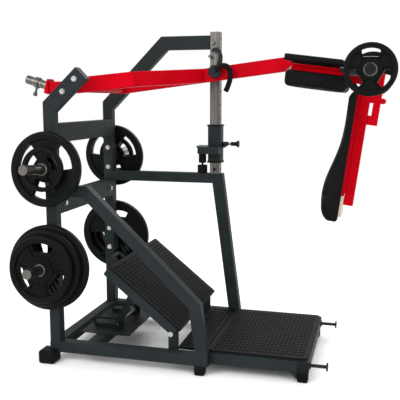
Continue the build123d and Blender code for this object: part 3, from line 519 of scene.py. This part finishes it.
GRIP_RADIUS = 0.0152
GRIP_OUT = 0.013          # middle of the grip from the lever's outer face
# Points of the lever from the latch pivot, in X and Z.
LEVER_KNOTS = ((0.012, 0.006), (0.036, 0.034), (0.082, 0.038), (0.106, -0.008), (0.096, -0.066),
               (0.072, -0.114))
BOSS_RADIUS, BOSS_EDGE, BOSS_DEPTH, BOSS_BEVEL = 0.038, 0.033, 0.021, 0.005
NUT_RADIUS, NUT_HEIGHT = 0.012, 0.008
BOSS_OUT = 0.026          # back of the boss from its outer face
SHAFT_RADIUS, SHAFT_SHORT = 0.012, 0.03

hub = Vector(joints["latch_pivot"]["pos_m"])
low, high = (Vector(corner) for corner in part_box("latch_lever"))
points = [Vector((hub.x + x, low.y + GRIP_OUT, hub.z + z)) for x, z in LEVER_KNOTS]
grip = round_bar("latch_grip", points, GRIP_RADIUS, finishes["rubber_black"], "latch")
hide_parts("latch_lever")

low, high = (Vector(corner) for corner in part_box("latch_hub"))
axis = -Y_AXIS
centre = Vector((hub.x, low.y + BOSS_OUT, hub.z))
bm = bmesh.new()
frustum(bm, centre, X_AXIS, axis, 48, BOSS_RADIUS, BOSS_RADIUS, BOSS_DEPTH)
frustum(bm, centre + axis * BOSS_DEPTH, X_AXIS, axis, 48, BOSS_RADIUS, BOSS_EDGE, BOSS_BEVEL)
frustum(bm, centre + axis * (BOSS_DEPTH + BOSS_BEVEL), X_AXIS, axis, 6, NUT_RADIUS, NUT_RADIUS - 0.001,
        NUT_HEIGHT)
frustum(bm, Vector((hub.x, high.y, hub.z)), X_AXIS, axis, 32, SHAFT_RADIUS, SHAFT_RADIUS,
        high.y - low.y - SHAFT_SHORT)
boss = new_object("latch_boss", mesh_from(bm, "latch_boss"), finishes["frame_paint"], "latch")
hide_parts("latch_hub")


# ---- board behind the back pad -----------------------------------------------------------------
def rounded_slab(name, centre, along, across, up, size, finish, body):
    """A flat board with eased edges."""
    bm = bmesh.new()
    bmesh.ops.create_cube(bm, size=1.0)
    for vertex in bm.verts:
        x, y, z = vertex.co
        vertex.co = centre + along * (x * size[0]) + across * (y * size[1]) + up * (z * size[2])
    bmesh.ops.bevel(bm, geom=bm.edges[:], offset=min(size) / 4, segments=3, affect="EDGES")
    return new_object(name, mesh_from(bm, name), finish, body)


BOARD_T, BOARD_WIDTH, BOARD_LENGTH = 0.0118, 0.259, 0.598
BOARD_GAP = 0.0005
# Start and end of each piece down the board from its top, and its finish.
BOARD_PIECES = {"back_plate": (-0.036, 0.49, "arm_paint"), "back_base": (0.49, BOARD_LENGTH, "board")}

hang = tilt @ -Z_AXIS
low, high = (Vector(corner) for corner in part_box("back_board"))
board_top = (low + high) / 2 - hang * (BOARD_LENGTH / 2)
for name, (start, end, slot) in BOARD_PIECES.items():
    centre = board_top + hang * ((start + end) / 2)
    size = (end - start - BOARD_GAP, BOARD_WIDTH, BOARD_T)
    rounded_slab(name, centre, hang, Y_AXIS, tilt @ X_AXIS, size, finishes[slot],
                              "press_arm")
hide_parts("back_board")


# ---- tube end caps -----------------------------------------------------------------------------
CAP_CORNER = 0.005
# Inset and height of each outline of a cap, from inside the tube to the top of its dome.
CAP_LEVELS = ((0.0, -0.001), (0.0, 0.0015), (0.004, 0.003))
TUBE = 0.060
STUB_ANGLE = math.radians(43)
STUB_DEPTH, STUB_LENGTH = 0.080, 0.255
UPRIGHT_TOP = 1.397


def end_cap(name, centre, normal, up, width, height, body, slot):
    """A shallow domed cap on the open end of a box tube."""
    side = up.cross(normal).normalized()
    bm = bmesh.new()
    loops = []
    for inset, level in CAP_LEVELS:
        half_w, half_h = width / 2 - inset, height / 2 - inset
        loop = []
        for sx, sz in ((-1, -1), (1, -1), (1, 1), (-1, 1)):
            for k in range(4):
                angle = math.atan2(sz, sx) - math.pi / 4 + k * math.pi / 6
                corner = Vector((sx * (half_w - CAP_CORNER), sz * (half_h - CAP_CORNER)))
                point = corner + Vector((math.cos(angle), math.sin(angle))) * CAP_CORNER
                loop.append(bm.verts.new(centre + side * point.x + up * point.y + normal * level))
        loops.append(loop)
    for a, b in zip(loops, loops[1:]):
        for i in range(len(a)):
            j = (i + 1) % len(a)
            bm.faces.new((a[i], a[j], b[j], b[i]))
    bm.faces.new(loops[-1])
    bm.faces.new(loops[0][::-1])
    new_object(name, mesh_from(bm, name), finishes[slot], body)


low, high = (Vector(corner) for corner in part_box("platform_tubes"))
for side, y, normal in (("near", low.y, -Y_AXIS), ("far", high.y, Y_AXIS)):
    end_cap(f"platform_cap_{side}", Vector((high.x - TUBE / 2, y, high.z - TUBE / 2)), normal, Z_AXIS,
            TUBE, TUBE, "frame", "black_plastic")
low, high = (Vector(corner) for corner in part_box("base_side_tubes"))
for side, y in (("near", low.y + TUBE / 2), ("far", high.y - TUBE / 2)):
    end_cap(f"base_cap_{side}", Vector((high.x, y, high.z - TUBE / 2)), X_AXIS, Z_AXIS,
            TUBE, TUBE, "frame", "black_plastic")

low, high = (Vector(corner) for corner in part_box("uprights"))
stub_run = Vector((math.cos(STUB_ANGLE), 0, math.sin(STUB_ANGLE)))
stub_up = Vector((-math.sin(STUB_ANGLE), 0, math.cos(STUB_ANGLE)))
stub_end = Vector((low.x, low.y + TUBE / 2, UPRIGHT_TOP)) + stub_run * STUB_LENGTH
end_cap("stub_cap", stub_end - stub_up * STUB_DEPTH / 2, stub_run, stub_up, TUBE, STUB_DEPTH,
        "frame", "frame_paint")


# ---- studio ------------------------------------------------------------------------------------
FLOOR_SIZE = 30
LENS, SENSOR = 60.8, 36
CAMERA_PLACE = (0.971, -3.614, 1.409)
CAMERA_DOWN, CAMERA_TURN = 8.45, 14.89


def area_light(name, place, target, size, power):
    """A square light aimed at a point."""
    light = bpy.data.lights.new(name, "AREA")
    light.shape = "SQUARE"
    light.size = size
    light.energy = power
    lamp = bpy.data.objects.new(name, light)
    lamp.location = place
    lamp.rotation_euler = (Vector(target) - Vector(place)).to_track_quat("-Z", "Y").to_euler()
    scene.collection.objects.link(lamp)


bm = bmesh.new()
bmesh.ops.create_grid(bm, x_segments=1, y_segments=1, size=FLOOR_SIZE)
floor = bpy.data.objects.new("floor", mesh_from(bm, "floor"))
scene.collection.objects.link(floor)
floor.data.materials.append(material("floor", (1.0, 1.0, 1.0), 0.9, specular=0.0)[0])

world = bpy.data.worlds.new("studio")
world.use_nodes = True
world.node_tree.nodes["Background"].inputs["Color"].default_value = (1, 1, 1, 1)
world.node_tree.nodes["Background"].inputs["Strength"].default_value = 1.0
scene.world = world
scene.view_settings.view_transform = "Standard"

area_light("key", (-2.2, -4.2, 3.8), (0, 0, 0.9), 2.5, 150)
area_light("fill", (3.6, -3.2, 2.4), (0.3, 0, 0.9), 2.5, 70)
area_light("back", (0.5, 3.6, 3.4), (0, 0, 1.0), 2.0, 70)

# ---- camera ------------------------------------------------------------------------------------
camera_data = bpy.data.cameras.new("camera")
camera_data.sensor_width = SENSOR
camera_data.lens = LENS
camera = bpy.data.objects.new("camera", camera_data)
camera.location = CAMERA_PLACE
camera.rotation_euler = (math.radians(90 - CAMERA_DOWN), 0, math.radians(CAMERA_TURN))
scene.collection.objects.link(camera)
scene.camera = camera
